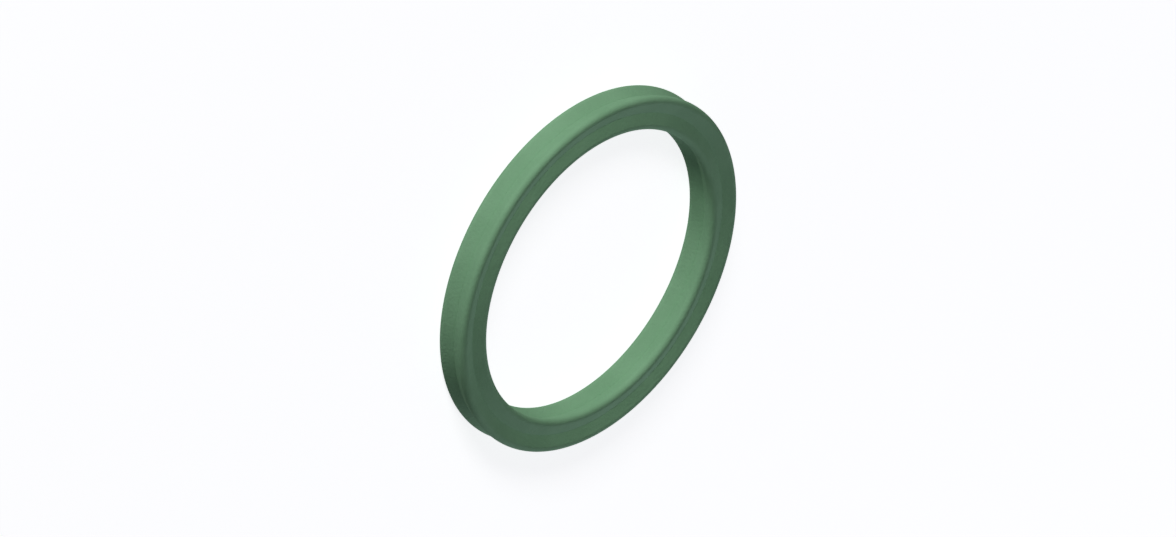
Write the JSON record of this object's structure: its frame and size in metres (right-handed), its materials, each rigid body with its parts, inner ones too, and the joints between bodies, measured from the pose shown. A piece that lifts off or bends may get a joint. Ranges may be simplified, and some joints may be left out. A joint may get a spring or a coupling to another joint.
{
  "type": "four-lobed o-ring",
  "caption": "Moulded rubber seal ring of four-lobed square section, used in a groove where a round-cord ring would fit.",
  "frame": {"origin": "centre of the ring on its axis, at half its thickness", "axes": "+Z along the ring's axis; the ring lies flat, and X and Y are any two directions across it"},
  "size_m": [0.0576, 0.0576, 0.0054],
  "materials": {
    "seal_ring": "matte"
  },
  "bodies": {
    "root": {"seal_ring": "seal_ring"}
  },
  "joints": []
}
